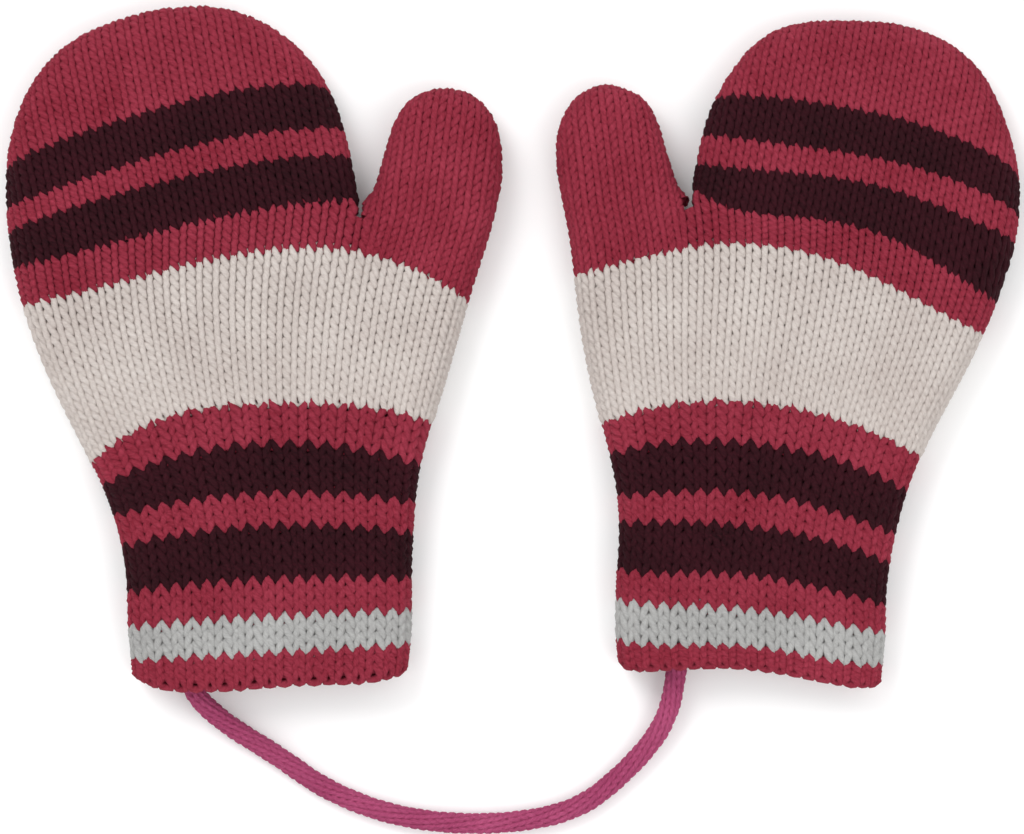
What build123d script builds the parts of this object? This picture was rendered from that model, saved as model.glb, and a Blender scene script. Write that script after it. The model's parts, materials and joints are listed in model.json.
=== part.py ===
"""A child's pair of striped knitted mittens joined by a short knitted cord, lying flat.

Frame: millimetres, +X across the pair, +Y towards the fingertips, +Z up. Z = 0 is the surface
that the pair lies on, and X = Y = 0 is the middle of the two mittens' footprint.
"""
from build123d import *
import math
import os

# ---- driving dimensions, mm ----
THICKNESS = 13.0        # height of a mitten lying flat, both layers of knitting and the air between
WALL = 2.6              # one layer of knitting
EDGE_BEVEL = 3.8        # bevel of the long edges where the front turns into the back
INNER_BEVEL = 2.2       # the same inside, so that the knitting stays one layer thick
FLAT_LENGTH = 5.5       # length of the short flats that a curved outline is made of
CUT_SPARE = 1.0         # how far a cutting block reaches past the top and bottom of a mitten
MOUTH_RUN_OUT = 32.0    # how far the blank tube runs past the cuff before the mouth is cut
MIDDLE = THICKNESS / 2

CORD_DIAMETER = 4.4
CORD_REST = CORD_DIAMETER / 2        # height of the cord's middle where it lies on the surface
CORD_IN_CUFF = MIDDLE                # height of the cord's middle inside a cuff
KNOT_RADIUS = 3.1
KNOT_FACE = math.sqrt(KNOT_RADIUS ** 2 - CORD_REST ** 2)   # from the knot's middle to the cord's end
THREAD_DIAMETER = 1.2                # sewing thread that tacks a cord end into its cuff
THREAD_HOLE = THREAD_DIAMETER + 0.7  # the way that the thread takes through the knot

THUMB_LIFT = 40.0       # degrees that a thumb folds up from flat
THUMB_SPARE = 1.0       # degrees by which hand and thumb still clear each other when it is folded
THUMB_GAP = 0.7         # slit between hand and thumb, so that the thumb turns freely
ROOM_WIDTH = 45.0       # size of the block that parts the thumb from the hand: along the fold line,
ROOM_LENGTH = 60.0      # past it,
ROOM_RISE = 12.0        # and above and below the middle
ARC_SHARE = 0.45        # share of the shorter run that each bend of the cord uses on either side

# Outline of each mitten, from the cuff's outer corner over the fingertips, down into the crotch,
# round the thumb and back to the cuff's inner corner.
OUTLINE = {
    "left": [
        (-79.5, -54), (-80.2, -44), (-84, -30.5), (-92.5, -13), (-100, 5), (-104, 26), (-102.5, 46),
        (-93, 61), (-78, 68), (-63, 70), (-48.5, 65), (-38.5, 54.5), (-33.9, 43), (-31.6, 32),
        (-30.9, 29.8), (-30.1, 29.2), (-29.3, 29.8), (-28.6, 32), (-26.5, 39.5),
        (-22.4, 49.8), (-14.3, 53.3), (-5.7, 50), (-2, 40.5),
        (-3.2, 27.5), (-7.5, 13.5), (-12, -2), (-16.8, -18),
        (-19.4, -30), (-20.2, -41), (-20.3, -54),
    ],
    "right": [
        (76.9, -54), (78.2, -42), (83.5, -24), (92.5, -6.5), (101, 13), (104.3, 31), (101.5, 45.5),
        (94, 59), (82, 65.6), (66, 67), (53, 64.8), (44, 55.5), (38.9, 45), (36.6, 33.5),
        (35.9, 31.3), (35.1, 30.7), (34.3, 31.3), (33.6, 33.5), (31.5, 40.5),
        (27.3, 51), (20.3, 54.1), (12, 50.6), (8.5, 40.5),
        (11, 24.5), (13, 8), (16, -9), (19.8, -24), (21.4, -37), (20.8, -47), (20.6, -54),
    ],
}

# Lines where the yarn changes, from the cuff's mouth up, each running from the left side of the
# mitten to its right side. The name is that of the stripe above the line.
YARN_CHANGES = {
    "left": [
        ("cuff_welt", [(-84, -65.5), (-67, -69.8), (-45, -68.3), (-27, -67.6), (-15, -64)]),
        ("cuff_white_stripe", [(-84, -65), (-50, -63), (-15, -61)]),
        ("cuff_rose_stripe_low", [(-84, -58.2), (-50, -55.5), (-15, -54.3)]),
        ("cuff_maroon_stripe_low", [(-84, -51.2), (-50, -47.9), (-15, -48.1)]),
        ("cuff_rose_stripe_high", [(-84, -42), (-50, -36.8), (-15, -39.4)]),
        ("cuff_maroon_stripe_high", [(-86, -36), (-50, -30.4), (-15, -33)]),
        ("wrist_rose_stripe", [
            (-91, -34), (-72, -23.4), (-57, -20.5), (-41, -20), (-30, -21.5), (-13, -26.5)]),
        ("palm_white_band", [
            (-95, -31), (-77.5, -17.3), (-66, -12.8), (-52, -11.8), (-41, -11.5), (-10, -18.5)]),
        ("hand_rose_band", [
            (-108, 4.5), (-80, 13.2), (-60, 17.4), (-45, 20.3), (-36, 20.6), (-26, 17.4), (-3, 10.4)]),
        ("hand_maroon_stripe_low", [
            (-109, 14), (-85, 20), (-65, 25), (-51, 28.1), (-32, 29.8), (-5, 37)]),
        ("hand_rose_stripe", [(-109, 21), (-85, 29.8), (-65, 35), (-51, 37.8), (-26, 38)]),
        ("hand_maroon_stripe_high", [
            (-109, 26.3), (-85, 34.8), (-65, 40.8), (-48, 43.8), (-26, 43.6)]),
        ("fingertip_cap", [(-109, 34.6), (-85, 44.6), (-65, 50.4), (-50, 53.2), (-26, 49.5)]),
    ],
    "right": [
        ("cuff_welt", [(15, -65.3), (36, -65.2), (49.5, -65.2), (66, -68.6), (84, -67.5)]),
        ("cuff_white_stripe", [(15, -59.7), (36, -61.6), (50.5, -61.8), (66, -65), (84, -64.2)]),
        ("cuff_rose_stripe_low", [(15, -51.2), (36, -53.4), (51, -54.2), (66, -57), (84, -59.6)]),
        ("cuff_maroon_stripe_low", [
            (15, -45.3), (36, -46.8), (51, -47.2), (66, -50.6), (84, -54.6)]),
        ("cuff_rose_stripe_high", [(15, -36.8), (36, -36.1), (49, -37), (65, -40.1), (84, -48.3)]),
        ("cuff_maroon_stripe_high", [
            (15, -31.4), (36, -30), (50, -30.4), (66, -34.3), (86, -41.8)]),
        ("wrist_rose_stripe", [
            (12, -27), (26, -20.5), (44, -19.7), (60, -21.7), (74, -26.3), (90, -35)]),
        ("palm_white_band", [
            (10, -20), (26, -13), (44, -11), (60, -13.1), (74, -17.6), (93, -29.5)]),
        ("hand_rose_band", [
            (4, 11.8), (20, 16.3), (34, 19.8), (44, 20.7), (60, 19.3), (75, 13.2), (107, -1)]),
        ("hand_maroon_stripe_low", [
            (8, 40), (36, 31.2), (46, 27.6), (61, 25.6), (72, 24.2), (84, 18.2), (109, 5.5)]),
        ("hand_rose_stripe", [(30, 39), (50, 35.8), (66, 34.4), (82, 30.4), (109, 17.5)]),
        ("hand_maroon_stripe_high", [(30, 44.6), (50, 41.7), (66, 39.6), (82, 36.4), (109, 22.8)]),
        ("fingertip_cap", [(30, 49.6), (50, 51), (66, 49), (82, 45.6), (94, 41), (109, 31.5)]),
    ],
}
TOP_OF_ALL = 90.0       # Y well past both fingertips

# Line that each thumb folds along, from the crotch to the outer side.
THUMB_FOLD = {
    "left": ((-30.1, 30.1), (-3.1, 25.1)),
    "right": ((35.1, 31.8), (9.5, 25.3)),
}

# Route of the cord's middle from the knot in the left cuff to the knot in the right cuff.
CORD_ROUTE = [
    (-69.8, -59.5, CORD_IN_CUFF), (-66.8, -70.4, CORD_IN_CUFF), (-59.5, -77.6, 3.6),
    (-49.0, -84.0, CORD_REST), (-37.5, -92.2, CORD_REST), (-22.0, -97.6, CORD_REST),
    (-4.0, -98.8, CORD_REST), (13.0, -96.0, CORD_REST), (23.5, -87.5, CORD_REST),
    (31.0, -78.6, 3.2), (33.6, -69.0, 5.6), (34.2, -59.4, CORD_IN_CUFF),
]


def outline_points(side):
    """Corners of the outline: short flats along a smooth curve, with the cuff's run-out at each end."""
    given = [Vector(*p) for p in OUTLINE[side]]
    curve = Spline(*given, tangents=[(0, 1), (0, -1)])
    stops = [curve.param_at_point(p) for p in given]
    corners = [Vector(given[0].X, given[0].Y - MOUTH_RUN_OUT)]
    for here, there, p, q in zip(stops, stops[1:], given, given[1:]):
        count = max(1, round((q - p).length / FLAT_LENGTH))
        corners += [curve.position_at(here + (there - here) * i / count) for i in range(count)]
    corners += [given[-1], Vector(given[-1].X, given[-1].Y - MOUTH_RUN_OUT)]
    return corners


def drawn_in(corners, inset, side):
    """The outline's corners moved inwards so that every flat stays parallel to itself."""
    turn = 1 if side == "left" else -1
    ways = [(q - p).normalized() for p, q in zip(corners, corners[1:])]
    normals = [Vector(w.Y, -w.X) * turn for w in ways]
    normals = [normals[0], *normals, normals[-1]]
    moved = []
    for corner, n, m in zip(corners, normals, normals[1:]):
        moved.append(corner + (n + m) * (inset / (1 + n.dot(m))))
    return moved


def pillow(side, inset, low, high, bevel):
    """A closed solid from low to high inside the outline, with a flat bevel along its long edges."""
    corners = outline_points(side)
    levels = [(inset + bevel, low), (inset, low + bevel), (inset, high - bevel), (inset + bevel, high)]
    rings = [[Vector(p.X, p.Y, z) for p in drawn_in(corners, into, side)] for into, z in levels]
    faces = [make_face(Polyline(*rings[0], close=True)), make_face(Polyline(*rings[-1], close=True))]
    for lower, upper in zip(rings, rings[1:]):
        for i in range(len(lower)):
            p, q = lower[i - 1], lower[i]
            faces.append(make_face(Polyline(p, q, upper[i], upper[i - 1], close=True)))
    return Solid(Shell([f.face() for f in faces]))


def mitten_shell(side):
    """One whole mitten as a hollow tube with the thumb, open only where it runs past the cuff."""
    outer = pillow(side, 0, 0, THICKNESS, EDGE_BEVEL)
    inner = pillow(side, WALL, WALL, THICKNESS - WALL, INNER_BEVEL)
    return outer - inner


def fold_frame(side):
    """A plane on the fold line: X along the line to the outer side, Y towards the thumb's tip."""
    (x0, y0), (x1, y1) = THUMB_FOLD[side]
    along = Vector(x1 - x0, y1 - y0, 0).normalized()
    away = Vector(0, 0, 1 if side == "left" else -1)
    return Plane(origin=(x0, y0, MIDDLE), x_dir=along, z_dir=away)


def beyond_fold(side, start):
    """The space past the fold line from start on, whose near face leans over above the middle.

    It leans away from the line for a start past it, and back over the line for one before it.
    """
    lean = math.tan(math.radians(THUMB_LIFT / 2 + THUMB_SPARE))
    end = start + math.copysign(ROOM_RISE * lean, start)
    up = ROOM_RISE if side == "left" else -ROOM_RISE
    profile = Plane.YZ * Polyline((start, -up), (start, 0), (end, up), (ROOM_LENGTH, up),
                                  (ROOM_LENGTH, -up), close=True)
    return fold_frame(side) * extrude(make_face(profile), ROOM_WIDTH, dir=(1, 0, 0))


def change_line(points):
    """The corners of one line of yarn change: short flats along a smooth curve."""
    curve = Spline(*points)
    count = round(curve.length / (2 * FLAT_LENGTH))
    return [curve.position_at(i / count) for i in range(count + 1)]


def band(lower, upper):
    """An upright block between two lines of yarn change, or from one line up past the fingertips."""
    low_line = change_line(lower)
    if upper:
        high_line = change_line(upper)
    else:
        high_line = [Vector(lower[0][0], TOP_OF_ALL), Vector(lower[-1][0], TOP_OF_ALL)]
    face = make_face(Polyline(*low_line, *reversed(high_line), close=True))
    return extrude(Pos(0, 0, -CUT_SPARE) * face, THICKNESS + 2 * CUT_SPARE, dir=(0, 0, 1))


def one_solid(shape):
    """The largest solid of a cut shape."""
    return shape.solids().sort_by(SortBy.VOLUME)[-1]


def mitten_pieces(side):
    """Every stripe of one mitten and its thumb, each as one closed solid."""
    shell = mitten_shell(side)
    hand = shell - beyond_fold(side, -THUMB_GAP / 2)
    pieces = {f"{side}_thumb": one_solid(shell & beyond_fold(side, THUMB_GAP / 2))}
    changes = YARN_CHANGES[side]
    for i, (name, line) in enumerate(changes):
        above = changes[i + 1][1] if i + 1 < len(changes) else None
        pieces[f"{side}_{name}"] = one_solid(hand & band(line, above))
    return pieces


def cord_pieces():
    """The knitted cord and the knot at each of its ends."""
    points = [Vector(*p) for p in CORD_ROUTE]
    knots = points[0], points[-1]
    first = (points[1] - points[0]).normalized()
    last = (points[-2] - points[-1]).normalized()
    points[0] = points[0] + first * KNOT_FACE
    points[-1] = points[-1] + last * KNOT_FACE
    radii = bend_radii(points)
    path = FilletPolyline(*points, radius=radii)
    section = Plane(origin=points[0], z_dir=first) * Circle(CORD_REST)
    cord = sweep(section, path=path)
    print("cord bends, mm:", [round(r, 1) for r in radii])
    print("cord length", round(path.length, 1), "volume over section x length",
          round(cord.volume / (math.pi * CORD_REST ** 2 * path.length), 4))
    pieces = {"mitten_cord": cord}
    for side, middle, way in (("left", knots[0], first), ("right", knots[1], last)):
        face = Plane(origin=middle + way * KNOT_FACE, z_dir=way)
        ball = Pos(*middle) * Sphere(KNOT_RADIUS)
        ball -= face * extrude(Circle(2 * KNOT_RADIUS), KNOT_RADIUS)
        hole = Pos(*middle) * Cylinder(THREAD_HOLE / 2, 4 * KNOT_RADIUS)
        pieces[f"{side}_cord_knot"] = one_solid(ball - hole)
    return pieces


def bend_radii(points):
    """As large a radius for each bend of the route as its two runs leave room for."""
    radii = []
    for before, here, after in zip(points, points[1:], points[2:]):
        turn = (here - before).get_angle(after - here)
        shorter = min((here - before).length, (after - here).length)
        radii.append(ARC_SHARE * shorter / math.tan(math.radians(turn / 2)))
    return radii


def cord_tack(side):
    """The sewing thread that runs through the knot from one layer of the cuff to the other."""
    x, y, _ = CORD_ROUTE[0] if side == "left" else CORD_ROUTE[-1]
    height = THICKNESS - 2 * WALL
    return Pos(x, y, MIDDLE) * Cylinder(THREAD_DIAMETER / 2, height)


def main():
    os.makedirs("parts", exist_ok=True)
    pieces = cord_pieces()
    for side in ("left", "right"):
        pieces.update(mitten_pieces(side))
        pieces[f"{side}_cord_tack"] = cord_tack(side)
    for name, solid in pieces.items():
        solid.label = name
        export_step(solid, f"parts/{name}.step")


main()
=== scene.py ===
"""A child's striped knitted mittens on a knitted cord: every stitch is a loop of yarn.

Lengths are in millimetres until a mesh is made, apart from the cord's route. The right mitten is
worked out as a left one, on mirrored coordinates, and turned over when its points are put in place.
"""
import bpy
import json
import math
import numpy as np
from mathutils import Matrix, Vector
from mathutils.bvhtree import BVHTree


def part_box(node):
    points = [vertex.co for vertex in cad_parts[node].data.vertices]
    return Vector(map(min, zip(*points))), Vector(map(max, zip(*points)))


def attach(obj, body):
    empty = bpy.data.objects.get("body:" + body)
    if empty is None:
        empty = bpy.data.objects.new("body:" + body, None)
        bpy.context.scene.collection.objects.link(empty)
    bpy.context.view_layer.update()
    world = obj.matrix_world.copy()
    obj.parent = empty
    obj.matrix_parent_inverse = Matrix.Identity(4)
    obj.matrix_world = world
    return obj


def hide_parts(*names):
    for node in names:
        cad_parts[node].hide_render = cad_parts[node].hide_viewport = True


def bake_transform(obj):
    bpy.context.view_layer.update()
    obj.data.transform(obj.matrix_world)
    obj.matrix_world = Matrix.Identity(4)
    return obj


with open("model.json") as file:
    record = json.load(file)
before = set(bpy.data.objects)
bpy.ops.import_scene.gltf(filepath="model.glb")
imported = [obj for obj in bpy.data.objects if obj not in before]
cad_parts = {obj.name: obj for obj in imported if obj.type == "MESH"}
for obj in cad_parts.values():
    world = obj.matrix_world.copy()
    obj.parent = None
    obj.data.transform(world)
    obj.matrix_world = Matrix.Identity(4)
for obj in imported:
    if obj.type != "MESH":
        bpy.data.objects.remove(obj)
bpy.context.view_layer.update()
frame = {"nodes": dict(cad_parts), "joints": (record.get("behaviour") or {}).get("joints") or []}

MM = 0.001
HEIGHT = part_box("left_palm_white_band")[1][2] / MM   # thickness of a mitten as it lies
MIDDLE = HEIGHT / 2
YARN = 0.74                   # radius of the mittens' yarn
RIB_YARN = 0.8                # and of the same yarn in the slacker stitches of the cuff
SWING = 0.45                  # how far a loop swings to the front and back of the fabric
SKIN = YARN + SWING           # from the fabric's middle surface to its outside
ROUND = MIDDLE - SKIN         # how the middle surface turns round the mitten's edge
OVERHANG = SKIN - ROUND * (math.pi / 2 - 1)   # depth in the outline at which front meets back
EDGE_LAP = 0.55               # how far the front's rows run on past the middle, and the back's
LOOP_STEPS = 14               # points of yarn in one stitch
YARN_SIDES = 8
PLY_TWIST = 3.6               # length of yarn in which its plies turn once
PLY_RELIEF = 0.11             # how far the plies stand out, as a share of the yarn's radius
FIBRE_LENGTH = 0.35           # how drawn out the fibres' pattern is along the yarn
UNEVEN = 0.035                # how uneven the rows are, as a share of a row,
UNEVEN_STEP = 7               # and over how many points of yarn

# Shape of a stitch: how far its legs sway sideways, how far its head is shifted, in columns, and
# half its height, in rows.
PLAIN_STITCH = (0.18, 0.125, 0.86)
RIB_STITCH = (0.25, 0.06, 0.92)
CORD_STITCH = (0.17, 0.08, 0.86)

RIB_DIP = 0.55                # how far the cuff draws back between its ribs of two columns
RIB_PINCH = 0.05              # how far the two columns of a rib are drawn together
RIB_COLUMNS = 20              # columns of stitches across one side of the cuff
PALM_COLUMNS = 29             # across the palm, thumb side included
HAND_COLUMNS = 24             # and across the hand beside the thumb
THUMB_COLUMN = 2.95           # width of a column in the thumb
HAND_LEAN = math.tan(math.radians(-11))       # how the columns of the hand lean as they rise
THUMB_LEAN = math.tan(math.radians(7))
THUMB_COLUMNS = 11            # as many as lie under the hand's edge too, where they are cut off
THUMB_ROWS = 24
THUMB_REACH = 31.5            # from the thumb's fold to the top of its last row
CAP_ROW = 1.95                # height of a row in the fingertip cap
THUMB_ROW_FALL = 0.06         # how the thumb's last row falls towards the outer side
CROTCH_DROP = 3.0             # the hand's last column stops this far below the crotch's sides
CROTCH_LAP = 1.8              # and runs this far under the thumb's first column
MOUTH_TAPER = 2.5             # how far each side of the cuff would draw in at the end of its tube
MOUTH_SLANT = 9.0             # height in which the slanting mouth leaves part of the cuff's width
RUN_OUT = 24.0                # how far the outlines run on past the cuff
RUN_OVER = 20.0               # and past the fingertips, where an outline is closed over the thumb
LINE_STEP = 0.8               # length of the steps in a smoothed line
EDGE_SMOOTHING = 6.0          # how smooth the edges are that the columns follow
BACKING_DEPTH = 0.42          # from the fabric's middle surface in to its backing sheet
BACKING_LAP = 3.4             # how far the backing runs on past the edge's middle
BACKING_STEP = 0.5            # size of its squares, in stitches

# Each stripe from the cuff's mouth up: name, colour, rows of stitches.
STRIPES = [
    ("cuff_welt", "rose", 3), ("cuff_white_stripe", "white_cool", 3),
    ("cuff_rose_stripe_low", "rose", 3), ("cuff_maroon_stripe_low", "maroon", 4),
    ("cuff_rose_stripe_high", "rose", 3), ("cuff_maroon_stripe_high", "maroon", 4),
    ("wrist_rose_stripe", "rose", 4), ("palm_white_band", "white", 15),
    ("hand_rose_band", "rose", 5), ("hand_maroon_stripe_low", "maroon", 4),
    ("hand_rose_stripe", "rose", 3), ("hand_maroon_stripe_high", "maroon", 4),
    ("fingertip_cap", "rose", 14),
]
CUFF_STRIPES = 7              # the first seven are ribbed
PALM, ROSE_BAND, CAP = 7, 8, 12

CORD_DIAMETER = 4.4
CORD_YARN = 0.55
CORD_SWING = 0.3
CORD_COLUMNS = 5
THREAD = 0.28                 # radius of the sewing thread
CORD_ROW = 1.7
CORE_STEP = 6                 # the plain core inside it uses one in so many points of its line
CORD_TURN = 0.09              # how its columns wind round it, radians in a millimetre
CORD_ROUTE = [                # in metres, from the knot in the left cuff to that in the right
    (-0.0698, -0.0595, 0.0065), (-0.0668, -0.0704, 0.0065), (-0.0595, -0.0776, 0.0036),
    (-0.0490, -0.0840, 0.0022), (-0.0375, -0.0922, 0.0022), (-0.0220, -0.0976, 0.0022),
    (-0.0040, -0.0988, 0.0022), (0.0130, -0.0960, 0.0022), (0.0235, -0.0875, 0.0022),
    (0.0310, -0.0786, 0.0032), (0.0336, -0.0690, 0.0056), (0.0342, -0.0594, 0.0065),
]

INSIDE_SHADE = 0.35           # painted shade: how much darker than its yarn the inside of the knitting is coloured, seen between the loops
PALE_INSIDE_SHADE = 0.75      # the same painted shade, lighter, where the yarn is white
VIEW_MIDDLE = (-0.2, -14.7)   # where the camera looks
VIEW_WIDTH = 210.2
CAMERA_HEIGHT = 1500.0


# ---- camera, floor and light ----

def make_camera():
    data = bpy.data.cameras.new("camera")
    data.sensor_width = 36
    data.lens = data.sensor_width * (CAMERA_HEIGHT - MIDDLE) / VIEW_WIDTH
    camera = bpy.data.objects.new("camera", data)
    camera.location = (VIEW_MIDDLE[0] * MM, VIEW_MIDDLE[1] * MM, CAMERA_HEIGHT * MM)
    bpy.context.scene.collection.objects.link(camera)
    bpy.context.scene.camera = camera


def make_light(name, place, size, power):
    data = bpy.data.lights.new(name, "AREA")
    data.shape = "DISK"
    data.size = size
    data.energy = power
    light = bpy.data.objects.new(name, data)
    light.location = place
    light.rotation_euler = (-Vector(place)).to_track_quat("-Z", "Y").to_euler()
    bpy.context.scene.collection.objects.link(light)


def make_studio():
    bpy.ops.mesh.primitive_plane_add(size=6)
    floor = bpy.context.object
    floor.name = "floor"
    material = bpy.data.materials.new("white_floor")
    material.use_nodes = True
    shader = material.node_tree.nodes["Principled BSDF"]
    shader.inputs["Base Color"].default_value = (0.93, 0.93, 0.93, 1)
    shader.inputs["Roughness"].default_value = 0.9
    shader.inputs["Specular IOR Level"].default_value = 0.1
    floor.data.materials.append(material)
    world = bpy.data.worlds.new("studio")
    world.use_nodes = True
    world.node_tree.nodes["Background"].inputs["Color"].default_value = (1, 1, 1, 1)
    world.node_tree.nodes["Background"].inputs["Strength"].default_value = 1.05
    bpy.context.scene.world = world
    make_light("key", (-0.7, 0.9, 1.3), 0.9, 11)
    make_light("fill", (0.9, -0.6, 1.4), 1.2, 6)
    bpy.context.scene.view_settings.view_transform = "Standard"


# ---- wool ----

def wool(name, colour, light, fuzz, sheen, bump):
    """Matte wool: fibres that wind along the yarn, and slow changes of tone from place to place."""
    material = bpy.data.materials.new(name)
    material.use_nodes = True
    nodes, links = material.node_tree.nodes, material.node_tree.links
    shader = nodes["Principled BSDF"]
    fibre = nodes.new("ShaderNodeAttribute")
    fibre.attribute_name = "fibre"
    streaks = nodes.new("ShaderNodeTexNoise")
    streaks.inputs["Scale"].default_value = 2.2
    streaks.inputs["Detail"].default_value = 4
    streaks.inputs["Roughness"].default_value = 0.65
    links.new(fibre.outputs["Vector"], streaks.inputs["Vector"])
    place = nodes.new("ShaderNodeTexCoord")
    slow = nodes.new("ShaderNodeTexNoise")
    slow.inputs["Scale"].default_value = 70
    slow.inputs["Detail"].default_value = 2
    links.new(place.outputs["Object"], slow.inputs["Vector"])
    tone = nodes.new("ShaderNodeMath")
    tone.operation = "MULTIPLY_ADD"
    tone.inputs[1].default_value = 0.45
    links.new(slow.outputs["Fac"], tone.inputs[0])
    links.new(streaks.outputs["Fac"], tone.inputs[2])
    ramp = nodes.new("ShaderNodeValToRGB")
    ramp.color_ramp.elements[0].position = 0.45
    ramp.color_ramp.elements[0].color = (*colour, 1)
    ramp.color_ramp.elements[1].position = 0.95
    ramp.color_ramp.elements[1].color = (*light, 1)
    links.new(tone.outputs["Value"], ramp.inputs["Fac"])
    links.new(ramp.outputs["Color"], shader.inputs["Base Color"])
    fine = nodes.new("ShaderNodeTexNoise")
    fine.inputs["Scale"].default_value = fuzz
    fine.inputs["Detail"].default_value = 3
    links.new(fibre.outputs["Vector"], fine.inputs["Vector"])
    relief = nodes.new("ShaderNodeBump")
    relief.inputs["Strength"].default_value = bump
    relief.inputs["Distance"].default_value = 0.0004
    links.new(fine.outputs["Fac"], relief.inputs["Height"])
    links.new(relief.outputs["Normal"], shader.inputs["Normal"])
    shader.inputs["Roughness"].default_value = 0.9
    shader.inputs["Specular IOR Level"].default_value = 0.15
    shader.inputs["Sheen Weight"].default_value = sheen
    shader.inputs["Sheen Roughness"].default_value = 0.5
    shader.inputs["Sheen Tint"].default_value = (*light, 1)
    return material


def make_wools():
    """For each colour, the yarn's material and that of the inside of its knitting, darkened as
    painted shade.
    """
    colours = {
        "rose": ((0.185, 0.008, 0.020), (0.37, 0.042, 0.074), 7, 0.08, 0.9),
        "maroon": ((0.012, 0.001, 0.0028), (0.055, 0.006, 0.013), 9, 0.05, 1.0),
        "white": ((0.47, 0.405, 0.375), (0.64, 0.585, 0.55), 7, 0.1, 0.7),
        "white_cool": ((0.29, 0.285, 0.28), (0.46, 0.46, 0.45), 7, 0.1, 0.7),
        "cord": ((0.30, 0.033, 0.104), (0.53, 0.10, 0.225), 7, 0.1, 0.9),
    }
    made = {}
    for name, (colour, light, fuzz, sheen, bump) in colours.items():
        shade = PALE_INSIDE_SHADE if "white" in name else INSIDE_SHADE
        # painted shade: the inside is the yarn's colour darkened, for the gaps between the loops
        inside = [c * shade for c in colour]
        made[name] = [wool(f"{name}_wool", colour, light, fuzz, sheen, bump),
                      wool(f"{name}_inside", inside, inside, fuzz, 0, bump)]
    return made


# ---- meshes ----

class Yarns:
    """Gathers tubes of yarn and sheets of backing fabric, then makes one mesh of them."""

    def __init__(self):
        self.points, self.faces, self.fibre, self.slots, self.count = [], [], [], [], 0

    def add(self, points, faces, fibre, slot):
        self.points.append(points)
        self.faces.append(faces + self.count)
        self.fibre.append(fibre)
        self.slots.append(np.full(len(faces), slot))
        self.count += len(points)

    def tube(self, path, out, radius, start=0.0):
        """A yarn of two plies along the path; out is a direction off the path at each point."""
        if len(path) < 3:
            return
        ways = np.gradient(path, axis=0)
        ways /= np.linalg.norm(ways, axis=1)[:, None] + 1e-9
        across = np.cross(ways, out)
        across /= np.linalg.norm(across, axis=1)[:, None] + 1e-9
        up = np.cross(across, ways)
        steps = np.linalg.norm(np.diff(path, axis=0), axis=1)
        along = start + np.concatenate([[0], np.cumsum(steps)])
        angle = np.arange(YARN_SIDES) * 2 * math.pi / YARN_SIDES
        turned = angle[None, :] - along[:, None] * 2 * math.pi / PLY_TWIST
        size = radius * (1 + PLY_RELIEF * np.cos(2 * turned))
        ring = (np.cos(angle)[None, :, None] * across[:, None, :]
                + np.sin(angle)[None, :, None] * up[:, None, :])
        points = (path[:, None, :] + size[:, :, None] * ring).reshape(-1, 3)
        fibre = np.stack([np.cos(turned), np.sin(turned),
                          np.broadcast_to(along[:, None] * FIBRE_LENGTH, turned.shape)], -1)
        row = np.arange(len(path) - 1)[:, None] * YARN_SIDES
        here = np.arange(YARN_SIDES)[None, :]
        there = (here + 1) % YARN_SIDES
        faces = np.stack([row + here, row + there, row + there + YARN_SIDES,
                          row + here + YARN_SIDES], -1).reshape(-1, 4)
        self.add(points, faces, fibre.reshape(-1, 3), 0)

    def sheet(self, grid, keep):
        """A backing sheet over a grid of points, on the squares whose corners are all kept."""
        rows, columns = grid.shape[:2]
        index = np.arange(rows * columns).reshape(rows, columns)
        faces = np.stack([index[:-1, :-1], index[:-1, 1:], index[1:, 1:], index[1:, :-1]], -1)
        whole = keep[:-1, :-1] & keep[:-1, 1:] & keep[1:, 1:] & keep[1:, :-1]
        # slot 1 is the inside material, darkened with painted shade
        self.add(grid.reshape(-1, 3), faces[whole], grid.reshape(-1, 3) * 0.5, 1)

    def mesh_object(self, name, materials):
        points = np.concatenate(self.points) * MM
        faces = np.concatenate(self.faces)
        mesh = bpy.data.meshes.new(name)
        mesh.from_pydata(points.tolist(), [], faces.tolist())
        mesh.polygons.foreach_set("use_smooth", np.ones(len(faces), bool))
        fibre = mesh.attributes.new("fibre", "FLOAT_VECTOR", "POINT")
        fibre.data.foreach_set("vector", np.concatenate(self.fibre).astype(np.float32).ravel())
        for material in materials:
            mesh.materials.append(material)
        mesh.polygons.foreach_set("material_index", np.concatenate(self.slots))
        piece = bpy.data.objects.new(name, mesh)
        bpy.context.scene.collection.objects.link(piece)
        return piece


# ---- the mitten's outline and the lines where the yarn changes, read from the frame ----

def tree_of(nodes):
    points, faces = [], []
    for node in nodes:
        mesh = frame["nodes"][node].data
        faces += [[i + len(points) for i in p.vertices] for p in mesh.polygons]
        points += [v.co.copy() for v in mesh.vertices]
    return BVHTree.FromPolygons(points, faces)


def edges_at(tree, heights, flip):
    """Left and right edge of the nodes at each height up the hand, as far as there are any."""
    found = []
    for y in heights:
        hits = []
        for sign in (1, -1):
            start = Vector((-sign * flip, y * MM, MIDDLE * MM))
            place = tree.ray_cast(start, Vector((sign * flip, 0, 0)))[0]
            hits.append(place.x * flip / MM if place else None)
        if None not in hits:
            found.append((y, *hits))
    return np.array(found)


def smoothed(points, reach, closed):
    """The same line in even small steps, with its short flats rounded off."""
    if closed:
        points = np.vstack([points, points[:1]])
    far = np.concatenate([[0], np.cumsum(np.linalg.norm(np.diff(points, axis=0), axis=1))])
    even = np.arange(0, far[-1], LINE_STEP)
    line = np.stack([np.interp(even, far, points[:, i]) for i in (0, 1)], -1)
    width = int(reach / LINE_STEP) | 1
    half = width // 2
    for _ in range(2):
        padded = np.vstack([line[-half:], line, line[:half]]) if closed else np.vstack(
            [np.repeat(line[:1], half, 0), line, np.repeat(line[-1:], half, 0)])
        line = np.stack([np.convolve(padded[:, i], np.ones(width) / width, "valid")
                         for i in (0, 1)], -1)
    return line


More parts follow.
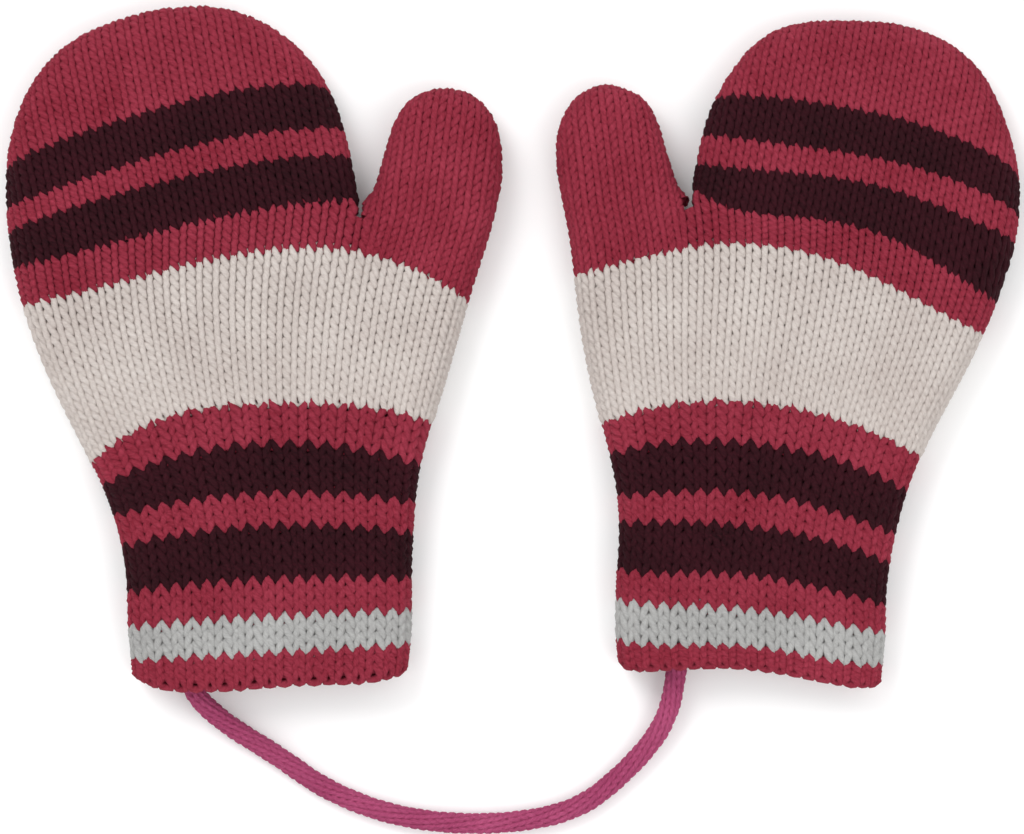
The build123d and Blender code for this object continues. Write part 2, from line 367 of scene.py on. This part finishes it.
class Outline:
    """How deep points lie inside a closed outline, on a grid that is read between its lines."""

    STEP = 1.0
    MARGIN = 8
    SMOOTHING = 3.2

    def __init__(self, corners):
        line = smoothed(np.asarray(corners), self.SMOOTHING, True)
        self.low = line.min(0) - self.MARGIN
        size = np.ceil((line.max(0) + self.MARGIN - self.low) / self.STEP).astype(int) + 1
        xs, ys = (self.low[i] + np.arange(size[i]) * self.STEP for i in (0, 1))
        grid = np.stack(np.meshgrid(xs, ys, indexing="ij"), -1).reshape(-1, 2)
        nearest = np.full(len(grid), np.inf)
        inside = np.zeros(len(grid), bool)
        for p, q in zip(line, np.roll(line, -1, 0)):
            nearest = np.minimum(nearest, np.hypot(*(grid - p).T))
            if p[1] != q[1]:
                crosses = (p[1] > grid[:, 1]) != (q[1] > grid[:, 1])
                at = p[0] + (grid[:, 1] - p[1]) * (q[0] - p[0]) / (q[1] - p[1])
                inside ^= crosses & (grid[:, 0] < at)
        self.depths = np.where(inside, nearest, -nearest).reshape(size)

    def depth(self, xy):
        spot = (xy - self.low) / self.STEP
        cell = np.clip(spot.astype(int), 0, np.array(self.depths.shape) - 2)
        part = spot - cell
        i, j = cell[..., 0], cell[..., 1]
        a, b = part[..., 0], part[..., 1]
        d = self.depths
        return ((1 - a) * (1 - b) * d[i, j] + a * (1 - b) * d[i + 1, j]
                + (1 - a) * b * d[i, j + 1] + a * b * d[i + 1, j + 1])

    def wrap(self, xy, lift):
        """Points of the flat fabric laid over the rounded edge: places, ways out and what shows."""
        nudge = 0.6
        depth = self.depth(xy)
        inwards = np.stack([self.depth(xy + (nudge, 0)) - self.depth(xy - (nudge, 0)),
                            self.depth(xy + (0, nudge)) - self.depth(xy - (0, nudge))], -1)
        inwards /= np.linalg.norm(inwards, axis=-1)[..., None] + 1e-9
        e = depth - SKIN
        angle = np.clip((e + ROUND * (math.pi / 2 - 1)) / ROUND, -EDGE_LAP / ROUND, math.pi / 2)
        flat = e >= ROUND
        shift = np.where(flat, 0, ROUND * (1 - np.cos(angle)) - e)
        base = xy + inwards * shift[..., None]
        rise = ROUND * np.sin(angle)
        out = np.concatenate([-inwards * np.cos(angle)[..., None], np.sin(angle)[..., None]], -1)
        places = np.concatenate([base, rise[..., None]], -1) + out * lift[..., None]
        return places, out, depth >= OVERHANG - EDGE_LAP


def line_of_change(node, flip, low, high):
    """Height of a node's lower cut as a smooth function of x, between low and high."""
    tree = tree_of([node])
    xs, ys = [], []
    for x in np.arange(low, high, 1.0):
        start = Vector((x * flip * MM, -0.2, (HEIGHT - 1.3) * MM))
        place, normal = tree.ray_cast(start, Vector((0, 1, 0)))[:2]
        if place and normal.y < -0.5 and abs(normal.z) < 0.3:
            xs.append(x)
            ys.append(place.y / MM)
    fit = np.polyfit(xs, ys, 4)
    ends = np.array([xs[0], xs[-1]])
    slope = np.polyval(np.polyder(fit), ends)

    def height(x):
        held = np.clip(x, *ends)
        beyond = np.where(x < ends[0], slope[0], slope[1]) * (x - held)
        return np.polyval(fit, held) + beyond
    return height


class Mitten:
    """One mitten's outlines, lines of change and columns, in left-handed coordinates."""

    def __init__(self, side):
        self.side = side
        self.flip = 1 if side == "left" else -1
        hand_nodes = [f"{side}_{name}" for name, _, _ in STRIPES]
        heights = np.arange(-90, 80, 0.5)
        hand = edges_at(tree_of(hand_nodes), heights, self.flip)
        thumb = edges_at(tree_of([f"{side}_thumb"]), heights, self.flip)
        joint = next(j for j in frame["joints"] if j["name"] == f"{side}_thumb_fold")
        self.fold = np.array([joint["pos_m"][0] * self.flip, joint["pos_m"][1]]) / MM
        self.read_outlines(hand, thumb)
        self.read_lines(side)

    def read_outlines(self, hand, thumb):
        """Outlines of the whole mitten, and of it without the crotch, the thumb or the hand."""
        hand = hand[hand[:, 0] > hand[0, 0] + MOUTH_SLANT]
        bottom = hand[0]
        mouth = bottom[0] - RUN_OUT
        crotch_y = self.fold[1] + 3.5
        upper = hand[hand[:, 0] > crotch_y]
        palm = hand[hand[:, 0] < self.fold[1] - 4]
        outer = thumb[thumb[:, 0] > self.fold[1] + 1]
        self.crotch = np.array([upper[0, 2] + 1.2, crotch_y - 1.5])
        left = [(bottom[1] + MOUTH_TAPER, mouth)] + [(x, y) for y, x, _ in hand]
        right = [(x, y) for y, _, x in palm[::-1]] + [(bottom[2] - MOUTH_TAPER, mouth)]
        side = [(x, y) for y, _, x in outer[::-1]]
        over = hand[-1, 0] + RUN_OVER
        above = [(left[-1][0], over), (outer[-8, 2], over)]
        hand_right = [(x, y) for y, _, x in upper[::-1]]
        slant = (hand_right[-1][0] + 8, crotch_y - 40)
        thumb_left = [(x, y) for y, x, _ in thumb if y > crotch_y]
        down = (thumb_left[0][0] - 16, crotch_y - 14)
        bottom_of_crotch = (self.crotch[0] - 0.1, self.crotch[1])
        self.whole_outline = Outline(left + hand_right + [bottom_of_crotch] + thumb_left[1:]
                                     + side + right)
        self.palm_outline = Outline(left + above + side + right)
        self.hand_outline = Outline(left + hand_right + [slant, (slant[0], mouth)])
        self.thumb_outline = Outline([down] + thumb_left + side + right[:-1]
                                     + [(right[-2][0], bottom[0]), (down[0], bottom[0])])
        edge = smoothed(np.array(left), EDGE_SMOOTHING, False)
        self.left_edge = lambda y: np.interp(y, edge[:, 1], edge[:, 0]) + OVERHANG
        other = smoothed(np.array((side + right)[::-1]), EDGE_SMOOTHING, False)
        self.right_edge = lambda y: np.interp(y, other[:, 1], other[:, 0]) - OVERHANG

    def read_lines(self, side):
        self.lines = []
        for i, (name, _, _) in enumerate(STRIPES):
            high = 0 if i <= ROSE_BAND else self.crotch[0] - 3
            self.lines.append(line_of_change(f"{side}_{name}", self.flip, -110, high))
        cap = self.lines[CAP]
        self.lines.append(lambda x: cap(x) + CAP_ROW * STRIPES[CAP][2])
        self.meeting = self.crotch[0]     # where the hand's columns and the thumb's meet

    def height(self, stripe, row, x):
        """Height of a row of a stripe at x; rows count up from the stripe's lower line."""
        share = row / STRIPES[stripe][2]
        return self.lines[stripe](x) * (1 - share) + self.lines[stripe + 1](x) * share

    # Each of these puts stitches in the plane: column u across and row v up, to x and y. The height
    # of a row depends on x and the width of a column on y, so x and y are found in turns.

    def across(self, stripe, u, v, columns):
        y = self.height(stripe, v, np.full_like(u, -50.0))
        for _ in range(3):
            low, high = self.left_edge(y), self.right_edge(y)
            x = low + (high - low) * u / columns
            y = self.height(stripe, v, x)
        return x, y

    def cuff_place(self, stripe, u, v):
        return self.across(stripe, u - RIB_PINCH * np.sin(math.pi * u), v, RIB_COLUMNS)

    def palm_place(self, stripe, u, v):
        return self.across(stripe, u, v, PALM_COLUMNS)

    def hand_place(self, stripe, u, v):
        level = self.crotch[1]
        low, high = self.left_edge(level), self.meeting
        y = self.height(stripe, v, np.full_like(u, -60.0))
        for _ in range(3):
            x = low + (high - low) * u / HAND_COLUMNS + (y - level) * HAND_LEAN
            y = self.height(stripe, v, x)
        return x, y

    def thumb_place(self, stripe, u, v):
        """Rows of the thumb start along the white band's edge and level out towards the tip."""
        top = self.fold[1] + THUMB_REACH
        x = np.full_like(u, self.fold[0])
        for _ in range(4):
            share = v / THUMB_ROWS
            level = top - THUMB_ROW_FALL * (x - self.fold[0])
            y = self.lines[ROSE_BAND](x) * (1 - share) + level * share
            x = self.right_edge(np.minimum(y, self.fold[1])) - u * THUMB_COLUMN
            x = x + np.maximum(y - self.fold[1], 0) * THUMB_LEAN
        return x, y


# ---- knitting ----

def loops(t, shape, flip=1):
    """Column and height above the row of yarn in loops, one stitch in each turn of t."""
    sway, shift, half_height = shape
    u = t / (2 * math.pi) + sway * np.sin(2 * t) + flip * shift * np.cos(t)
    return u, 0.5 - half_height * np.cos(t)


def stitches(columns, flip, rib):
    """One row of loops: column u, height above the row's foot, and lift off the fabric's middle."""
    t = np.arange(columns[0] * LOOP_STEPS, columns[1] * LOOP_STEPS + 1) * 2 * math.pi / LOOP_STEPS
    u, rise = loops(t, RIB_STITCH if rib else PLAIN_STITCH, flip)
    lift = -SWING * np.cos(2 * t)
    if rib:
        lift = lift - RIB_DIP * (1 - np.abs(np.sin(t / 4)))
    return u, rise, lift


def runs_of(keep):
    """Start and end of each unbroken run of kept points."""
    edges = np.flatnonzero(np.diff(np.concatenate([[0], keep.astype(int), [0]])))
    return zip(edges[::2], edges[1::2])


def soft_rise(places):
    """How the upper layer of a mitten swells and dips a little where it lies over the lower one."""
    x, y = places[..., 0], places[..., 1]
    wave = np.sin(x * 0.071 + y * 0.043) + np.sin(x * -0.052 + y * 0.087 + 1.3)
    return 0.28 * wave + 0.2 * np.sin(x * 0.19 + 0.6) * np.sin(y * 0.16)


def lay(mitten, flat, level):
    """Points off the mitten's middle level, put in the frame, above the middle or below it."""
    places = flat.copy()
    if level > 0:
        places[..., 2] += soft_rise(flat) * np.clip(flat[..., 2] / ROUND, 0, 1)
    places[..., 2] = MIDDLE + level * places[..., 2]
    places[..., 0] *= mitten.flip
    return places


def knit(yarns, mitten, outline, place, stripe, rows, columns, keep=None, rib=False):
    """All rows of one stripe in one field of columns, on both faces, with a backing sheet."""
    rng = np.random.default_rng(stripe * 7 + len(mitten.side))
    for row in range(rows[0], rows[1]):
        u, rise, lift = stitches(columns, mitten.flip, rib)
        marks = np.arange(0, len(u) + UNEVEN_STEP, UNEVEN_STEP)
        draws = rng.normal(0, UNEVEN, len(u) // UNEVEN_STEP + 2)
        uneven = np.interp(np.arange(len(u)), marks, draws[:len(marks)])
        x, y = place(stripe, u, row + rise + uneven)
        flat, out, shown = outline.wrap(np.stack([x, y], -1), lift)
        if keep is not None:
            shown &= keep(x, y)
        for level in (1, -1):
            where = lay(mitten, flat, level)
            way = out * (mitten.flip, 1, level)
            for first, last in runs_of(shown):
                yarns.tube(where[first:last], way[first:last], RIB_YARN if rib else YARN,
                           row * PLY_TWIST / 2)
    backing(yarns, mitten, outline, place, stripe, rows, columns, keep)


def backing(yarns, mitten, outline, place, stripe, rows, columns, keep):
    """The fabric's own thickness behind the loops, so that no light comes through; it takes the
    darker inside material, painted shade in the gaps between the loops.
    """
    u = np.arange(columns[0], columns[1] + BACKING_STEP / 2, BACKING_STEP)
    v = np.arange(rows[0], rows[1] + BACKING_STEP / 2, BACKING_STEP)
    u, v = np.meshgrid(u, v)
    x, y = place(stripe, u, v)
    xy = np.stack([x, y], -1)
    flat, _, _ = outline.wrap(xy, np.full(u.shape, -BACKING_DEPTH))
    shown = outline.depth(xy) > OVERHANG - BACKING_LAP
    if keep is not None:
        shown &= keep(x, y)
    for level in (1, -1):
        yarns.sheet(lay(mitten, flat, level), shown)


def knit_mitten(side, wools):
    """Every stripe of a mitten as a piece of its own, and the thumb."""
    mitten = Mitten(side)

    def before_thumb(x, y):
        below = y < mitten.crotch[1] - CROTCH_DROP
        return (x < mitten.meeting - 1.2) | (below & (x < mitten.meeting + CROTCH_LAP))

    for i, (name, colour, rows) in enumerate(STRIPES):
        yarns = Yarns()
        if i < CUFF_STRIPES:
            knit(yarns, mitten, mitten.palm_outline, mitten.cuff_place, i, (0, rows),
                 (0, RIB_COLUMNS), rib=True)
        elif i <= ROSE_BAND:
            banded = i == ROSE_BAND
            knit(yarns, mitten, mitten.whole_outline if banded else mitten.palm_outline,
                 mitten.palm_place, i, (0, rows), (0, PALM_COLUMNS),
                 keep=before_thumb if banded else None)
        else:
            knit(yarns, mitten, mitten.hand_outline, mitten.hand_place, i, (0, rows),
                 (-1, HAND_COLUMNS))
        piece = yarns.mesh_object(f"{side}_knit_{name}", wools[colour])
        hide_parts(f"{side}_{name}")
        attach(piece, f"{side}_mitten")
    knit_thumb(mitten, wools)


def knit_thumb(mitten, wools):
    """The thumb, from the white band's edge up, bending where the CAD thumb folds."""
    side, yarns = mitten.side, Yarns()

    def keep(x, y):
        return (y > mitten.crotch[1]) | (x > mitten.meeting - 0.3)
    knit(yarns, mitten, mitten.thumb_outline, mitten.thumb_place, ROSE_BAND, (0, THUMB_ROWS),
         (-1, THUMB_COLUMNS), keep=keep)
    piece = yarns.mesh_object(f"{side}_knit_thumb", wools["rose"])
    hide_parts(f"{side}_thumb")
    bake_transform(piece)


# ---- the cord ----

def make_route():
    """The cord's own line: a smooth open spline through its route."""
    curve = bpy.data.curves.new("cord_route", "CURVE")
    curve.dimensions = "3D"
    spline = curve.splines.new("NURBS")
    spline.points.add(len(CORD_ROUTE) - 1)
    for point, place in zip(spline.points, CORD_ROUTE):
        point.co = (*place, 1)
    spline.order_u = 3
    spline.use_endpoint_u = True
    curve.resolution_u = 24
    holder = bpy.data.objects.new("cord_route", curve)
    mesh = bpy.data.meshes.new_from_object(holder)
    points = np.array([v.co for v in mesh.vertices])
    bpy.data.objects.remove(holder)
    return points


def knit_cord(wools):
    """A narrow tube of knitting, worked in one spiral round the cord's line."""
    route = make_route()
    line = route / MM
    far = np.concatenate([[0], np.cumsum(np.linalg.norm(np.diff(line, axis=0), axis=1))])
    rows = int(far[-1] / CORD_ROW)
    t = np.arange(rows * CORD_COLUMNS * LOOP_STEPS) * 2 * math.pi / LOOP_STEPS
    u, rise = loops(t, CORD_STITCH)
    at = (u / CORD_COLUMNS + rise) * far[-1] / rows
    at = np.clip(at, CORD_SWING, far[-1] - CORD_SWING)
    middle = np.stack([np.interp(at, far, line[:, i]) for i in range(3)], -1)
    ahead = np.stack([np.interp(at + 0.5, far, line[:, i]) - np.interp(at - 0.5, far, line[:, i])
                      for i in range(3)], -1)
    ahead /= np.linalg.norm(ahead, axis=1)[:, None]
    sideways = np.cross(ahead, (0, 0, 1))
    sideways /= np.linalg.norm(sideways, axis=1)[:, None]
    upward = np.cross(sideways, ahead)
    angle = (u * 2 * math.pi / CORD_COLUMNS + at * CORD_TURN)[:, None]
    out = np.cos(angle) * sideways + np.sin(angle) * upward
    half = CORD_DIAMETER / 2 - CORD_YARN - CORD_SWING
    path = middle + out * (half - CORD_SWING * np.cos(2 * t))[:, None]
    yarns = Yarns()
    yarns.tube(path, out, CORD_YARN)
    core = line[::CORE_STEP]
    tangent = np.gradient(core, axis=0)
    yarns.tube(core, np.cross(tangent, (0, 0, 1.0)), half)
    piece = yarns.mesh_object("knitted_cord", wools["cord"])
    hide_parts("mitten_cord")
    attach(piece, "cord")
    knots = [make_knot(side, wools) for side in ("left", "right")]


def make_knot(side, wools):
    """The overhand knot in the cord's end: yarn wound over itself."""
    low, high = (np.array(corner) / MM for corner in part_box(f"{side}_cord_knot"))
    middle, reach = (low + high) / 2, (high - low).min() / 2
    t = np.linspace(0, 2 * math.pi, 160)
    wide = reach * (0.58 + 0.2 * np.cos(3 * t))
    path = np.stack([wide * np.cos(2 * t), wide * np.sin(2 * t), reach * 0.5 * np.sin(3 * t)], -1)
    yarns = Yarns()
    yarns.tube(path + middle, path, reach * 0.33)
    piece = yarns.mesh_object(f"{side}_knot", wools["cord"])
    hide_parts(f"{side}_cord_knot")
    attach(piece, "cord")
    return piece


def sew_tack(side, wools):
    """Sewing thread through the knot, from one layer of the cuff to the other and back."""
    low, high = (np.array(corner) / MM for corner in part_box(f"{side}_cord_tack"))
    middle, reach = (low + high) / 2, (high - low) / 2
    t = np.linspace(0, 6 * math.pi, 220)
    path = np.stack([np.cos(t) * reach[0] * 0.5, np.sin(t * 1.31) * reach[1] * 0.5,
                     np.cos(t / 2) * (reach[2] + 0.4)], -1)
    yarns = Yarns()
    yarns.tube(path + middle, np.tile((1.0, 0.3, 0.1), (len(t), 1)), THREAD)
    piece = yarns.mesh_object(f"{side}_tack", wools["rose"])
    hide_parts(f"{side}_cord_tack")
    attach(piece, f"{side}_mitten")


make_camera()
make_studio()
wools = make_wools()
knit_cord(wools)
for side in ("left", "right"):
    sew_tack(side, wools)
    knit_mitten(side, wools)
